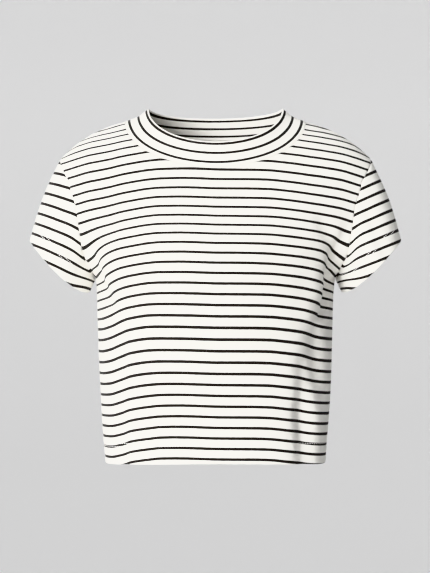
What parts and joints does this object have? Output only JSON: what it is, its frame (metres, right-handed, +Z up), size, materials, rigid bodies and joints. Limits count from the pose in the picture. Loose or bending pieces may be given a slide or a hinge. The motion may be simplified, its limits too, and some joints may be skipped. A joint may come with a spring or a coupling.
{
  "type": "crop top",
  "caption": "Short-sleeved striped jersey crop top, filled out as if worn, with a low mock neckband and open neck, sleeves and hem.",
  "frame": {"origin": "midway between the two points where the shoulder seams meet the neckband, at their height, where the wearer's shoulders carry the garment", "axes": "+Z up; the front faces -Y; +X towards the wearer's left sleeve"},
  "size_m": [0.4526, 0.235, 0.4315],
  "materials": {
    "striped_jersey": "matte knit, off-white with narrow black stripes",
    "neckband_jersey": "matte knit, folded double, off-white with three narrow black stripes"
  },
  "bodies": {
    "root": {"front": "striped_jersey", "back": "striped_jersey", "sleeve_left": "striped_jersey", "sleeve_right": "striped_jersey", "neckband": "neckband_jersey"}
  },
  "joints": []
}
